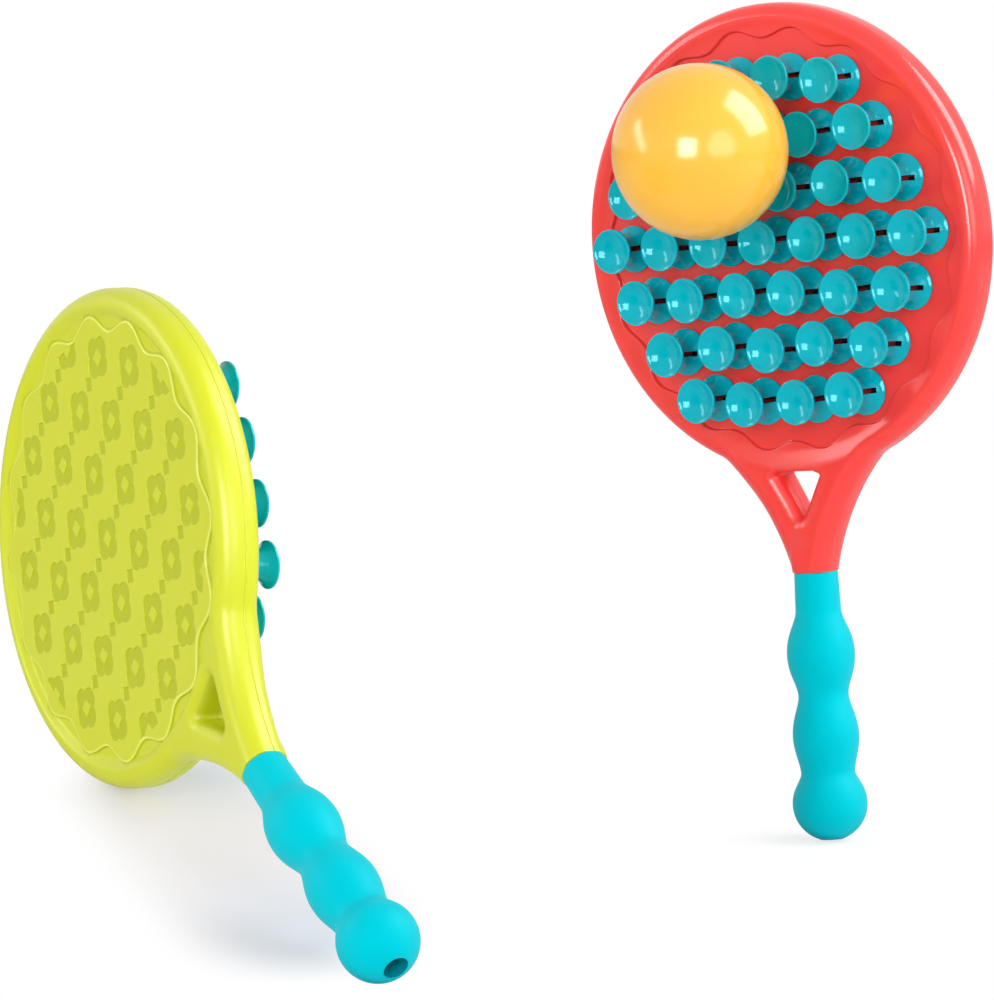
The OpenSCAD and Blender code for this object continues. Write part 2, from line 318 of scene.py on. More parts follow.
def matt_edge_with_painted_shade(p):
    """How matt the moulding is near the gap, where the tool's slides leave it unpolished, and how
    much shade is painted there.
    """
    return matt_shade_share * min(max((matt_shade_to - from_gap(p)) / (matt_shade_to - matt_shade_from), 0), 1)


panel_step = step_profile(back_up, fillet=0.42, draft=0.06, count=4)
figure_step = step_profile(relief, fillet=0.22, draft=0.05, count=2)
figure_reach, square_reach = 11.0, 6.0
row_h = motif_pitch * math.sqrt(3) / 2
motif_rows = range(-4, 5)
figure_mids, square_mids = [], []
for j in motif_rows:
    for i in motif_rows:
        figure_mid = Vector(((i + j % 2 / 2) * motif_pitch, j * row_h))
        square_mid = figure_mid + Vector((motif_pitch / 2, 0))
        if figure_mid.length < relief_r + lobe_r / 2:
            figure_mids.append(figure_mid)
        if square_mid.length < relief_r - square_w:
            square_mids.append(square_mid)


lobe_steps, square_steps = 9, 4


def lobe_loop(mid, offset):
    """Outline of a four-lobed figure, grown by offset."""
    radius = lobe_r + offset
    tip = (lobe_off + math.sqrt(2 * radius ** 2 - lobe_off ** 2)) / 2
    half = Vector((tip - lobe_off, tip))
    points = []
    for k in range(4):
        turn = Matrix.Rotation(math.radians(90 * k), 2)
        arc = sweep(Vector((lobe_off, 0)), Vector((half.x, -half.y)), Vector((1, 0)), radius, lobe_steps)
        arc += sweep(Vector((lobe_off, 0)), Vector((1, 0)), half, radius, lobe_steps)
        points += [mid + turn @ p for p in arc]
    return points


def square_loop(mid, offset, turned):
    half = square_w / 2 + offset
    turn = Matrix.Rotation(math.radians(45 if turned else 0), 2)
    corners = [Vector((half, -half)), Vector((half, half)), Vector((-half, half)), Vector((-half, -half))]
    sides = [(corners[k], corners[(k + 1) % 4]) for k in range(4)]
    return [mid + turn @ a.lerp(b, i / square_steps) for a, b in sides for i in range(square_steps)]


def figure_depth(p):
    """1 on the floor of a sunk figure, 0 on the panel, and between them on the figure's wall."""
    s = 1e9
    for mid in figure_mids:
        q = p - mid
        if max(abs(q.x), abs(q.y)) < figure_reach:
            lobes = min(
                math.hypot(abs(q.x) - lobe_off, q.y), math.hypot(q.x, abs(q.y) - lobe_off)
            ) - lobe_r
            s = min(s, max(lobes, square_w / 2 - max(abs(q.x), abs(q.y)), p.length - relief_r))
    for mid in square_mids:
        q = p - mid
        if max(abs(q.x), abs(q.y)) < square_reach:
            s = min(s, (abs(q.x) + abs(q.y)) / math.sqrt(2) - square_w / 2)
    return 1 - height_on(figure_step, s) / relief


def back_face(p):
    level = back_z + rounding(back_edge, from_outline(p)) + rounding(gap_edge, from_gap(p))
    level += back_fall * slope(p.length, back_crest, back_slope)
    s = wave_at(p, back_wave_r, back_wave, back_waves, 0) - p.length
    level += (panel_z - level) * height_on(panel_step, s) / back_up
    return level + relief * figure_depth(p)


def back_inside(p):
    r = p.length
    if r > head_r - wall:
        return seam_z
    return back_z + back_t + max(0, r - (pan_r - pan_bevel))


back_crest, back_slope = head_r - back_edge + 0.2, 4.3
pan_r, pan_bevel = head_r - wall, 1.5
back_loops = [outline(d) for d in edge_insets(back_edge)[1:]]
back_loops += [gap_outline(d) for d in edge_insets(gap_edge)[1:]]
back_loops += slope_rings(back_crest, back_slope, 8)
back_loops += [wave_loop(back_wave_r, back_wave, back_waves, 0, s) for s, _ in panel_step]
back_loops += [ring(relief_r + s) for s, _ in figure_step]
for s, _ in figure_step:
    back_loops += [lobe_loop(m, s) for m in figure_mids] + [square_loop(m, s, False) for m in figure_mids]
    back_loops += [square_loop(m, s, True) for m in square_mids]
# A hair's breadth keeps apart the two loops of a sharp step
hair = 0.01
back_inner = [ring(pan_r + hair), ring(pan_r - hair), ring(pan_r - pan_bevel)]
core_way = down_handle @ Matrix.Translation((0, 0, core_len / 2))
seam_groove = {"coral": 0.08, "lime": 0.25}
shown_z = seam_z - 2.0
step_shade_and_highlight = 0.7


def back_half(groove):
    """A back shell with its core. Each point has how far it is sunk, or how matt it is with painted
    shade, up to 1; at the panel's step, painted shade at its foot, and less than nothing for a painted
    highlight along its top edge."""
    rows = [(0, seam_z - 2 * groove), (groove, seam_z - groove), (groove, seam_z)]
    mesh = moulded_half(back_loops, back_face, rows, back_inner, back_inside, -1)
    sunk = mesh.verts.layers.float.new("sunk")
    for v in mesh.verts:
        on_panel = v.co.z < panel_z + relief + hair
        # The figures' depth on the panel; elsewhere how matt it is near the gap, with painted shade
        v[sunk] = figure_depth(v.co.xy) if on_panel else matt_edge_with_painted_shade(v.co.xy)
        # The panel's step: shade is painted at its foot and a highlight along its top edge
        s = wave_at(v.co.xy, back_wave_r, back_wave, back_waves, 0) - v.co.xy.length
        if v.co.z < shown_z and panel_step[0][0] + hair < s < panel_step[-1][0] - hair:
            v[sunk] = step_shade_and_highlight if s < 0 else -step_shade_and_highlight
    bmesh.ops.create_cone(
        mesh, cap_ends=True, segments=48, radius1=core_r, radius2=core_r, depth=core_len, matrix=core_way
    )
    return mesh


def srgb(text):
    """A colour written as sRGB hex, as linear values."""
    parts = [int(text[i:i + 2], 16) / 255 for i in (1, 3, 5)]
    return [c / 12.92 if c <= 0.04045 else ((c + 0.055) / 1.055) ** 2.4 for c in parts] + [1.0]


def add(tree, kind, sockets=None, **settings):
    """Adds a node with its settings; a socket is given a value, or another node's socket to link."""
    node = tree.nodes.new(kind)
    for name, value in settings.items():
        setattr(node, name, value)
    for key, value in (sockets or {}).items():
        if isinstance(value, bpy.types.NodeSocket):
            tree.links.new(value, node.inputs[key])
        else:
            node.inputs[key].default_value = value
    return node


def moulded_abs(name, colour, deep, pale, satin, gloss):
    """Moulded ABS with a fine spark-eroded grain: an even satin colour with soft broad highlights.
    The sunk figures are matt and deeper in colour. Near the gap it is matt with painted shade in that
    deeper colour, the panel's step has painted shade at its foot and a paler painted highlight along its
    top edge, and where a cup's foot covers the face, what its slot shows is painted in deep shade."""
    material = bpy.data.materials.new(name)
    material.use_nodes = True
    tree = material.node_tree
    shader = tree.nodes["Principled BSDF"]
    spot = add(tree, "ShaderNodeTexCoord").outputs["Object"]
    # The sunk figures' depth, and the painted shade near the gap and at the foot of the panel's step; below
    # nothing, the painted highlight on the step's top edge
    depth = add(tree, "ShaderNodeAttribute", attribute_name="sunk").outputs["Fac"]
    # Flow marks about 40 mm long, and a grain of 0.6 mm, coarser than the real one so that it shows
    flow = add(tree, "ShaderNodeTexNoise", {"Vector": spot, "Scale": 25.0, "Detail": 3.0})
    grain = add(tree, "ShaderNodeTexNoise", {"Vector": spot, "Scale": 1600.0, "Detail": 2.0})
    tone = add(tree, "ShaderNodeMapRange", {"Value": flow.outputs["Fac"], "To Min": 0.0, "To Max": 0.22})
    mixed = add(tree, "ShaderNodeMath", {
        0: tone.outputs["Result"], 1: depth,
    }, operation="ADD", use_clamp=True)
    hue = add(tree, "ShaderNodeMix", {
        "Factor": mixed.outputs[0], "A": srgb(colour), "B": srgb(deep),
    }, data_type="RGBA")
    # A painted highlight: below nothing, the panel's top edge turns pale
    painted_highlight = add(tree, "ShaderNodeMath", {0: depth, 1: -1.0}, operation="MULTIPLY", use_clamp=True)
    hue = add(tree, "ShaderNodeMix", {
        "Factor": painted_highlight.outputs[0], "A": hue.outputs["Result"], "B": srgb(pale),
    }, data_type="RGBA")
    # Painted shade: under a cup's foot and on its peg, the colour turns dark maroon
    covered = add(tree, "ShaderNodeAttribute", attribute_name="covered").outputs["Fac"]
    hue = add(tree, "ShaderNodeMix", {
        "Factor": covered, "A": hue.outputs["Result"], "B": srgb("#30060c"),
    }, data_type="RGBA")
    rough = add(tree, "ShaderNodeMapRange", {"Value": depth, "To Min": satin, "To Max": 0.42})
    fine = add(tree, "ShaderNodeMath", {0: grain.outputs["Fac"], 1: 0.08}, operation="MULTIPLY")
    rough = add(tree, "ShaderNodeMath", {0: rough.outputs["Result"], 1: fine.outputs[0]}, operation="ADD")
    bump = add(tree, "ShaderNodeBump", {
        "Height": grain.outputs["Fac"], "Strength": 0.12, "Distance": 0.0002,
    })
    tree.links.new(hue.outputs["Result"], shader.inputs["Base Color"])
    tree.links.new(rough.outputs[0], shader.inputs["Roughness"])
    tree.links.new(bump.outputs["Normal"], shader.inputs["Normal"])
    shader.inputs["Specular IOR Level"].default_value = gloss
    shader.inputs["IOR"].default_value = 1.5
    return material


# The colours: the plastic's own, a deeper one for the sunk figures and for painted shade, and a pale one
# for a painted highlight
abs_coral = moulded_abs("moulded_abs_coral", "#f8403c", "#ee322e", "#ff7068", satin=0.14, gloss=0.46)
abs_lime = moulded_abs("moulded_abs_lime", "#cad021", "#b1b900", "#e8ee78", satin=0.3, gloss=0.38)
abs_of = {"coral": abs_coral, "lime": abs_lime}
sharp_edge = math.radians(35)


def show(name, source, colour, material):
    """A piece of one paddle: a copy of the mesh at its place, smooth but for its sharp edges."""
    mesh = bpy.data.meshes.new(name)
    source.to_mesh(mesh)
    mesh.transform(place[colour])
    mesh.materials.append(material)
    mesh.polygons.foreach_set("material_index", [0] * len(mesh.polygons))
    mesh.shade_smooth()
    mesh.set_sharp_from_angle(angle=sharp_edge)
    piece = bpy.data.objects.new(name, mesh)
    bpy.context.scene.collection.objects.link(piece)
    return piece


for colour in place:
    back = show(colour + "_moulded_back", back_half(seam_groove[colour]), colour, abs_of[colour])
    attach(back, colour + "_paddle")
    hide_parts(colour + "_back_shell")

# Front shells
# The front half is the second ABS moulding, plugged and welded into the pan. Its flat cup face lies
# in a wavy recess inside the rim, and 37 pegs stand on it to hold the cups.
front_edge = 6.5
front_wave_r, front_wave, front_waves = 77.0, 2.0, 18
front_fall = 1.6
neck_up = 8.1
neck_z = axis_z + neck_up
plug_gap, plug_h = 0.15, 2.0
peg_r, peg_h = 2.0, 10.0
cup_pitch = 22.2
cup_round = 0.27


def cup_places():
    """The middles of the cups: seven rows of a six-sided field, drawn a little towards round rings."""
    places = []
    for row in range(1, 8):
        count = 7 - abs(row - 4)
        for i in range(1, count + 1):
            a, b = i - (count + 1) / 2, 4 - row
            q = Vector((a, b * math.sqrt(3) / 2)) * cup_pitch
            rank = max(abs(b), abs(a + b / 2), abs(a - b / 2))
            if q.length > 0:
                q *= 1 + cup_round * (rank * cup_pitch / q.length - 1)
            places.append((q.x, q.y, 0.0))
    return places


recess_step = step_profile(rim_up - front_fall, fillet=0.4, draft=0.1, count=4)
front_crest, front_slope = 87.0, 10.5
bar_edge, bar_from, bar_over = 1.2, -0.3, 1.1
foot_edge, foot_half = 0.5, 12.0
arm_drop, arm_soft, arm_start = 0.8, 1.8, 12.0
gap_foot = gap_points[1]
arm_lean = gap_w / 2 / gap_h
arm_bend = 0.0094


def gap_drop(p):
    """The rounding round the gap: wide along the two arms, narrow along the bar above them."""
    d, e = from_gap(p), 1e-3
    if d >= gap_edge:
        return 0.0
    upward = (from_gap(p + Vector((0, e))) - from_gap(p - Vector((0, e)))) / (2 * e)
    t = min(max((upward - bar_from) / bar_over, 0), 1)
    return rounding(gap_edge + (bar_edge - gap_edge) * t * t * (3 - 2 * t), d)


def behind_arm(p):
    """1 on the left arm of the throat, which runs in a little behind the right one, else 0."""
    h = gap_foot.y - p.y
    edge = -arm_lean * h + arm_bend * max(h, 0) ** 2
    t = min(max((edge - p.x) / arm_soft + 0.5, 0), 1)
    low = min(max((-head_r - p.y) / arm_start, 0), 1)
    return t * t * (3 - 2 * t) * low


def front_face(p):
    level = rim_up - rounding(front_edge, from_outline(p)) - gap_drop(p)
    level -= rounding(foot_edge, p.y + grip_top)
    level -= front_fall * slope(p.length, front_crest, front_slope) + arm_drop * behind_arm(p)
    s = p.length - wave_at(p, front_wave_r, front_wave, front_waves, math.pi)
    level *= height_on(recess_step, s) / (rim_up - front_fall)
    # The throat gets thinner towards the grip
    thinner = max(-head_r - p.y, 0) / throat_l
    return level - thinner * (rim_up - neck_z) * (level - seam_z) / (rim_up - seam_z)


plug_r = head_r - wall - plug_gap


def front_inside(p):
    r = p.length
    if r > plug_r:
        return seam_z
    return seam_z - plug_h if r > plug_r - wall else -wall


front_loops = [outline(d) for d in edge_insets(front_edge)[1:]]
front_loops += [gap_outline(d) for d in edge_insets(gap_edge)[1:]]
front_loops += slope_rings(front_crest, front_slope, 12)[1:]
foot_lines = [d - grip_top for d in edge_insets(foot_edge, 4)]
front_loops += [
    [Vector((x * foot_half, y)) for x, y in ((-1, low), (1, low), (1, high), (-1, high))]
    for low, high in zip(foot_lines, foot_lines[1:])
]
front_loops += [wave_loop(front_wave_r, front_wave, front_waves, math.pi, s) for s, _ in recess_step]
# What a cup's foot covers, where shade is painted, with a thin ring round it in which the painted shade
# ends
painted_shade_r, painted_shade_edge, painted_shade_near, painted_shade_z = 8.2, 0.3, 0.1, -0.5
for c in cup_places():
    front_loops += [[Vector(c[:2]) + p for p in ring(r, count=24)] for r in (painted_shade_r, painted_shade_r + painted_shade_edge)]
front_inner = [ring(r + s) for r in (plug_r, plug_r - wall) for s in (hair, -hair)]
peg_root, peg_soft = 1.0, 0.5
peg_line = [
    (0, -peg_root), (peg_r, -peg_root), (peg_r, peg_h - peg_soft),
    (peg_r - 0.3 * peg_soft, peg_h - 0.3 * peg_soft), (peg_r - peg_soft, peg_h), (0, peg_h),
]


def geometry_tree(name, *inputs):
    """An empty Geometry Nodes tree with a geometry input, these other inputs and a geometry output."""
    tree = bpy.data.node_groups.new(name, "GeometryNodeTree")
    tree.interface.new_socket("Geometry", in_out="INPUT", socket_type="NodeSocketGeometry")
    for label, kind in inputs:
        tree.interface.new_socket(label, in_out="INPUT", socket_type=kind)
    tree.interface.new_socket("Geometry", in_out="OUTPUT", socket_type="NodeSocketGeometry")
    return tree, tree.nodes.new("NodeGroupInput").outputs, tree.nodes.new("NodeGroupOutput").inputs


def made_by(tree, points, values):
    """The plain mesh that a tree makes from points, with the values of its named inputs."""
    mesh = bpy.data.meshes.new(tree.name)
    mesh.from_pydata(points, [], [])
    maker = bpy.data.objects.new(tree.name, mesh)
    bpy.context.scene.collection.objects.link(maker)
    modifier = maker.modifiers.new(tree.name, "NODES")
    modifier.node_group = tree
    sockets = {s.name: s.identifier for s in tree.interface.items_tree if s.in_out == "INPUT"}
    for label, value in values.items():
        modifier[sockets[label]] = value
    made = bpy.data.meshes.new_from_object(maker.evaluated_get(bpy.context.evaluated_depsgraph_get()))
    bpy.data.objects.remove(maker)
    return made


weld_within = 0.002


def turning_tree():
    """Turns a profile, given as points (radius, 0, height) in order, about the z axis."""
    tree, given, result = geometry_tree(
        "turned_piece", ("Rings", "NodeSocketInt"), ("Segments", "NodeSocketInt"),
        ("Material", "NodeSocketMaterial"),
    )
    across = add(tree, "ShaderNodeMath", {0: given["Segments"], 1: 1.0}, operation="ADD").outputs[0]
    grid = add(tree, "GeometryNodeMeshGrid", {"Vertices X": given["Rings"], "Vertices Y": across})
    index = add(tree, "GeometryNodeInputIndex").outputs[0]
    share = add(tree, "ShaderNodeMath", {0: index, 1: across}, operation="DIVIDE").outputs[0]
    ring_no = add(tree, "ShaderNodeMath", {0: share}, operation="FLOOR").outputs[0]
    step = add(tree, "ShaderNodeMath", {0: index, 1: across}, operation="MODULO").outputs[0]
    angle = add(tree, "ShaderNodeMath", {0: step, 1: 2 * math.pi}, operation="MULTIPLY").outputs[0]
    angle = add(tree, "ShaderNodeMath", {0: angle, 1: given["Segments"]}, operation="DIVIDE").outputs[0]
    spot = add(tree, "GeometryNodeInputPosition").outputs[0]
    point = add(tree, "GeometryNodeSampleIndex", {
        "Geometry": given["Geometry"], "Value": spot, "Index": ring_no,
    }, data_type="FLOAT_VECTOR")
    turned = add(tree, "ShaderNodeVectorRotate", {
        "Vector": point.outputs[0], "Angle": angle,
    }, rotation_type="Z_AXIS").outputs[0]
    placed = add(tree, "GeometryNodeSetPosition", {"Geometry": grid.outputs["Mesh"], "Position": turned})
    closed = add(tree, "GeometryNodeMergeByDistance", {
        "Geometry": placed.outputs[0], "Distance": weld_within,
    })
    real = add(tree, "GeometryNodeRealizeInstances", {"Geometry": closed.outputs[0]})
    painted = add(tree, "GeometryNodeSetMaterial", {
        "Geometry": real.outputs[0], "Material": given["Material"],
    })
    tree.links.new(painted.outputs[0], result["Geometry"])
    return tree


turned_piece = turning_tree()


def turn_piece(name, line, segments, material):
    """A closed piece turned from a profile of (radius, height) points."""
    made = made_by(turned_piece, [(r, 0, h) for r, h in line], {
        "Rings": len(line), "Segments": segments, "Material": material,
    })
    mesh = bmesh.new()
    mesh.from_mesh(made)
    bmesh.ops.remove_doubles(mesh, verts=mesh.verts[:], dist=weld_within)
    bmesh.ops.recalc_face_normals(mesh, faces=mesh.faces[:])
    mesh.to_mesh(made)
    piece = bpy.data.objects.new(name, made)
    bpy.context.scene.collection.objects.link(piece)
    return piece


def field_tree():
    """Sets a piece on every point, each with a small random turn."""
    tree, given, result = geometry_tree(
        "field_of_pieces", ("Piece", "NodeSocketObject"), ("Turn", "NodeSocketFloat"),
        ("Seed", "NodeSocketInt"), ("Material", "NodeSocketMaterial"),
    )
    piece = add(tree, "GeometryNodeObjectInfo", {"Object": given["Piece"]}).outputs["Geometry"]
    back_turn = add(tree, "ShaderNodeMath", {0: given["Turn"], 1: -1.0}, operation="MULTIPLY")
    spin = add(tree, "FunctionNodeRandomValue", {
        2: back_turn.outputs[0], 3: given["Turn"], "Seed": given["Seed"],
    }, data_type="FLOAT")
    spin = add(tree, "ShaderNodeCombineXYZ", {"Z": spin.outputs[1]})
    pieces = add(tree, "GeometryNodeInstanceOnPoints", {
        "Points": given["Geometry"], "Instance": piece, "Rotation": spin.outputs[0],
    })
    real = add(tree, "GeometryNodeRealizeInstances", {"Geometry": pieces.outputs[0]})
    painted = add(tree, "GeometryNodeSetMaterial", {
        "Geometry": real.outputs[0], "Material": given["Material"],
    })
    tree.links.new(painted.outputs[0], result["Geometry"])
    return tree


field_of_pieces = field_tree()
peg = turn_piece("peg", peg_line, segments=20, material=abs_coral)
pegs = made_by(field_of_pieces, cup_places(), {"Piece": peg, "Material": abs_coral})
bpy.data.objects.remove(peg)


def front_half(groove):
    """A front shell with its pegs. Each point has how matt it is, with painted shade, and whether
    a cup's foot covers it, where shade is painted.
    """
    rows = [(0, seam_z + groove), (groove, seam_z)]
    mesh = moulded_half(front_loops, front_face, rows, front_inner, front_inside, 1)
    mesh.from_mesh(pegs)
    covered = mesh.verts.layers.float.new("covered")
    sunk = mesh.verts.layers.float.new("sunk")
    for v in mesh.verts:
        # Painted shade: near the gap, together with the matt, and under each cup's foot and on the pegs,
        # which the slots show
        v[sunk] = matt_edge_with_painted_shade(v.co.xy)
        near = min((v.co.xy - Vector(c[:2])).length for c in cup_places())
        v[covered] = float(near < painted_shade_r + painted_shade_near and v.co.z > painted_shade_z)
    return mesh


for colour in place:
    front = show(colour + "_moulded_front", front_half(seam_groove[colour]), colour, abs_of[colour])
    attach(front, colour + "_paddle")
    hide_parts(colour + "_front_shell")

# Suction cups
# Soft thermoplastic elastomer, moulded glossy so that the dish seals on the ball. Each cup is pushed
# over a peg, on which it can turn a little, and a slot through its side and foot shows the peg.
lip_h, lip_r, lip_t, lip_flat = 15.5, 8.4, 0.6, 0.1
dish = 3.0
foot_r = 8.8
waist_r, waist_h, hollow_r = 4.4, 8.0, 7.6
peg_gap = 0.12
slot_w, slot_out, slot_h, slot_under = 2.0, 6.4, 9.0, 1.0
foot_soft = 0.5
cup_turn, cup_seed = math.radians(9), 3
flank_steps, dish_steps = 20, 10


def cup_line():
    """Half section of a cup, from the peg hole's top round the foot and the lip to the dish."""
    hole_r, hole_h = peg_r + peg_gap, peg_h + peg_gap
    dish_in = lip_r - lip_t
    dish_r = (dish_in ** 2 + dish ** 2) / (2 * dish)
    mid = waist_r + hollow_r
    flank_from = foot_soft * 1.4
    low = math.asin((waist_h - flank_from) / hollow_r)
    low = min(low, math.acos((mid - foot_r) / hollow_r))
    high = math.acos((mid - lip_r) / hollow_r)
    line = [(0, hole_h), (hole_r, hole_h), (hole_r, 0), (foot_r - foot_soft, 0)]
    line += [
        (foot_r - foot_soft + foot_soft * math.sin(t), foot_soft - foot_soft * math.cos(t))
        for t in (0.5, 1.05, math.pi / 2)
    ]
    for i in range(flank_steps + 1):
        t = -low + (low + high) * i / flank_steps
        line.append((mid - hollow_r * math.cos(t), waist_h + hollow_r * math.sin(t)))
    soft = lip_t / 2
    line += [
        (lip_r - soft + soft * math.cos(t), lip_h - soft + soft * math.sin(t))
        for t in (0.0, 0.4, 0.8, 1.2, math.pi / 2, 2.2)
    ]
    edge = math.asin((dish_in - lip_flat) / dish_r)
    turns = [edge * (1 - i / dish_steps) for i in range(dish_steps + 1)]
    line += [(dish_r * math.sin(t), lip_h - dish + dish_r - dish_r * math.cos(t)) for t in turns]
    return line


def slot_tree():
    """Cuts the slot in one side of a cup, from its axis out."""
    tree, given, result = geometry_tree(
        "cup_slot", ("Cup", "NodeSocketObject"), ("Width", "NodeSocketFloat"),
        ("Length", "NodeSocketFloat"), ("Height", "NodeSocketFloat"), ("Depth", "NodeSocketFloat"),
        ("Material", "NodeSocketMaterial"),
    )
    cup = add(tree, "GeometryNodeObjectInfo", {"Object": given["Cup"]}).outputs["Geometry"]
    size = add(tree, "ShaderNodeCombineXYZ", {
        "X": given["Depth"], "Y": given["Width"], "Z": given["Length"],
    })
    half = add(tree, "ShaderNodeMath", {0: given["Depth"], 1: 0.5}, operation="MULTIPLY")
    spot = add(tree, "ShaderNodeCombineXYZ", {"X": half.outputs[0], "Z": given["Height"]})
    block = add(tree, "GeometryNodeMeshCube", {"Size": size.outputs[0]})
    block = add(tree, "GeometryNodeTransform", {
        "Geometry": block.outputs["Mesh"], "Translation": spot.outputs[0],
    })
    cut = add(tree, "GeometryNodeMeshBoolean", {
        "Mesh 1": cup, "Mesh 2": block.outputs[0],
    }, operation="DIFFERENCE")
    real = add(tree, "GeometryNodeRealizeInstances", {"Geometry": cut.outputs["Mesh"]})
    painted = add(tree, "GeometryNodeSetMaterial", {
        "Geometry": real.outputs[0], "Material": given["Material"],
    })
    tree.links.new(painted.outputs[0], result["Geometry"])
    return tree


def glossy_elastomer():
    """Polished soft elastomer: deep even colour, and sharp small highlights tinted with it."""
    material = bpy.data.materials.new("glossy_cup_elastomer")
    material.use_nodes = True
    tree = material.node_tree
    shader = tree.nodes["Principled BSDF"]
    spot = add(tree, "ShaderNodeTexCoord").outputs["Object"]
    # Faint clouding about 8 mm across, as pigment settles unevenly in soft mouldings
    cloud = add(tree, "ShaderNodeTexNoise", {"Vector": spot, "Scale": 120.0, "Detail": 2.0})
    hue = add(tree, "ShaderNodeMix", {
        "Factor": cloud.outputs["Fac"], "A": srgb("#00a7b8"), "B": srgb("#00b2c3"),
    }, data_type="RGBA")
    rough = add(tree, "ShaderNodeMapRange", {"Value": cloud.outputs["Fac"], "To Min": 0.06, "To Max": 0.1})
    tree.links.new(hue.outputs["Result"], shader.inputs["Base Color"])
    tree.links.new(rough.outputs["Result"], shader.inputs["Roughness"])
    shader.inputs["IOR"].default_value = 1.48
    # Light comes back out of the clear pigment with its colour, but for the glancing shine
    shader.inputs["Specular Tint"].default_value = srgb("#a0e8ee")
    return material


cup_elastomer = glossy_elastomer()
solid_cup = turn_piece("solid_cup", cup_line(), segments=40, material=cup_elastomer)
cup = bpy.data.objects.new("cup", made_by(slot_tree(), [], {
    "Cup": solid_cup, "Width": slot_w, "Length": slot_h + slot_under, "Depth": slot_out,
    "Height": (slot_h - slot_under) / 2, "Material": cup_elastomer,
}))
bpy.context.scene.collection.objects.link(cup)
for seed, colour in enumerate(place, cup_seed):
    mesh = bmesh.new()
    mesh.from_mesh(made_by(field_of_pieces, cup_places(), {
        "Piece": cup, "Turn": cup_turn, "Seed": seed, "Material": cup_elastomer,
    }))
    cups = show(colour + "_suction_cups", mesh, colour, cup_elastomer)
    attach(cups, colour + "_paddle")
    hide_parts(*[f"{colour}_cups_row_{row}" for row in range(1, 8)])
bpy.data.objects.remove(solid_cup)
bpy.data.objects.remove(cup)

# Grips
# A sleeve of soft satin elastomer over the back shell's core, with two swells for the fingers and
# a ball end. The hole in the end takes a cord or a hook.
grip_r, grip_grow = 8.15, 2.25
swell_1, swell_1_r = 31.0, 12.7
swell_2, swell_2_r = 61.5, 12.4
swell_curve = 24.0
swell_blend = 2.4
end_at, end_r = 87.0, 14.0
end_hole_r, end_hole_deep = 4.35, 22.0
grip_gap = 0.12
grip_soft = 0.5
slant_over = 8.0
grip_steps, end_steps = 150, 40


def soft_max(a, b):
    h = max(swell_blend - abs(a - b), 0) / swell_blend
    return max(a, b) + h * h * swell_blend / 4


def swell(s, mid, top, r):
    return top - r + math.sqrt(r * r - (s - mid) ** 2) if abs(s - mid) < r else 0.0


def grip_radius(s):
    plain = soft_max(grip_r + grip_grow * s / end_at, swell(s, end_at, end_r, end_r))
    swells = soft_max(
        swell(s, swell_1, swell_1_r, swell_curve), swell(s, swell_2, swell_2_r, swell_curve)
    )
    return soft_max(plain, swells)


def grip_line():
    """Half section of a grip; heights run down from its top."""
    bore = core_r + grip_gap
    tip = end_at + math.sqrt(end_r ** 2 - end_hole_r ** 2)
    line = [(0, core_len), (bore, core_len), (bore, 0)]
    line += [
        (grip_r - grip_soft + grip_soft * math.sin(t), grip_soft - grip_soft * math.cos(t))
        for t in (0.0, 0.5, 1.05)
    ]
    downs = [grip_soft + i * (end_at - grip_soft) / grip_steps for i in range(grip_steps)]
    line += [(grip_radius(s), s) for s in downs]
    last = math.acos((end_hole_r + grip_soft) / end_r)
    turns = [last * i / end_steps for i in range(end_steps + 1)]
    line += [(end_r * math.cos(t), end_at + end_r * math.sin(t)) for t in turns]
    line += [(end_hole_r + 0.3 * grip_soft, tip + 0.1 * grip_soft), (end_hole_r, tip - 0.7 * grip_soft)]
    line += [(end_hole_r, tip - end_hole_deep), (0, tip - end_hole_deep)]
    return line


def satin_elastomer():
    """Soft-touch elastomer with a fine matt grain: bright colour and broad dull highlights, and
    shade painted in the hole of its end."""
    material = bpy.data.materials.new("satin_grip_elastomer")
    material.use_nodes = True
    tree = material.node_tree
    shader = tree.nodes["Principled BSDF"]
    spot = add(tree, "ShaderNodeTexCoord").outputs["Object"]
    # Colour varies over some 30 mm; the grain is drawn at 0.5 mm, coarser than real, so that it shows
    cloud = add(tree, "ShaderNodeTexNoise", {"Vector": spot, "Scale": 33.0, "Detail": 2.0})
    grain = add(tree, "ShaderNodeTexNoise", {"Vector": spot, "Scale": 2000.0, "Detail": 2.0})
    hue = add(tree, "ShaderNodeMix", {
        "Factor": cloud.outputs["Fac"], "A": srgb("#00bbc9"), "B": srgb("#00c1cf"),
    }, data_type="RGBA")
    # Painted shade in the hole of the grip's end
    covered = add(tree, "ShaderNodeAttribute", attribute_name="covered").outputs["Fac"]
    hue = add(tree, "ShaderNodeMix", {
        "Factor": covered, "A": hue.outputs["Result"], "B": srgb("#008593"),
    }, data_type="RGBA")
    rough = add(tree, "ShaderNodeMapRange", {"Value": grain.outputs["Fac"], "To Min": 0.48, "To Max": 0.58})
    bump = add(tree, "ShaderNodeBump", {
        "Height": grain.outputs["Fac"], "Strength": 0.15, "Distance": 0.0002,
    })
    tree.links.new(hue.outputs["Result"], shader.inputs["Base Color"])
    tree.links.new(rough.outputs["Result"], shader.inputs["Roughness"])
    tree.links.new(bump.outputs["Normal"], shader.inputs["Normal"])
    shader.inputs["IOR"].default_value = 1.48
    shader.inputs["Specular IOR Level"].default_value = 0.2
    # What shines back from the soft surface keeps its colour
    shader.inputs["Specular Tint"].default_value = srgb("#18cad8")
    return material


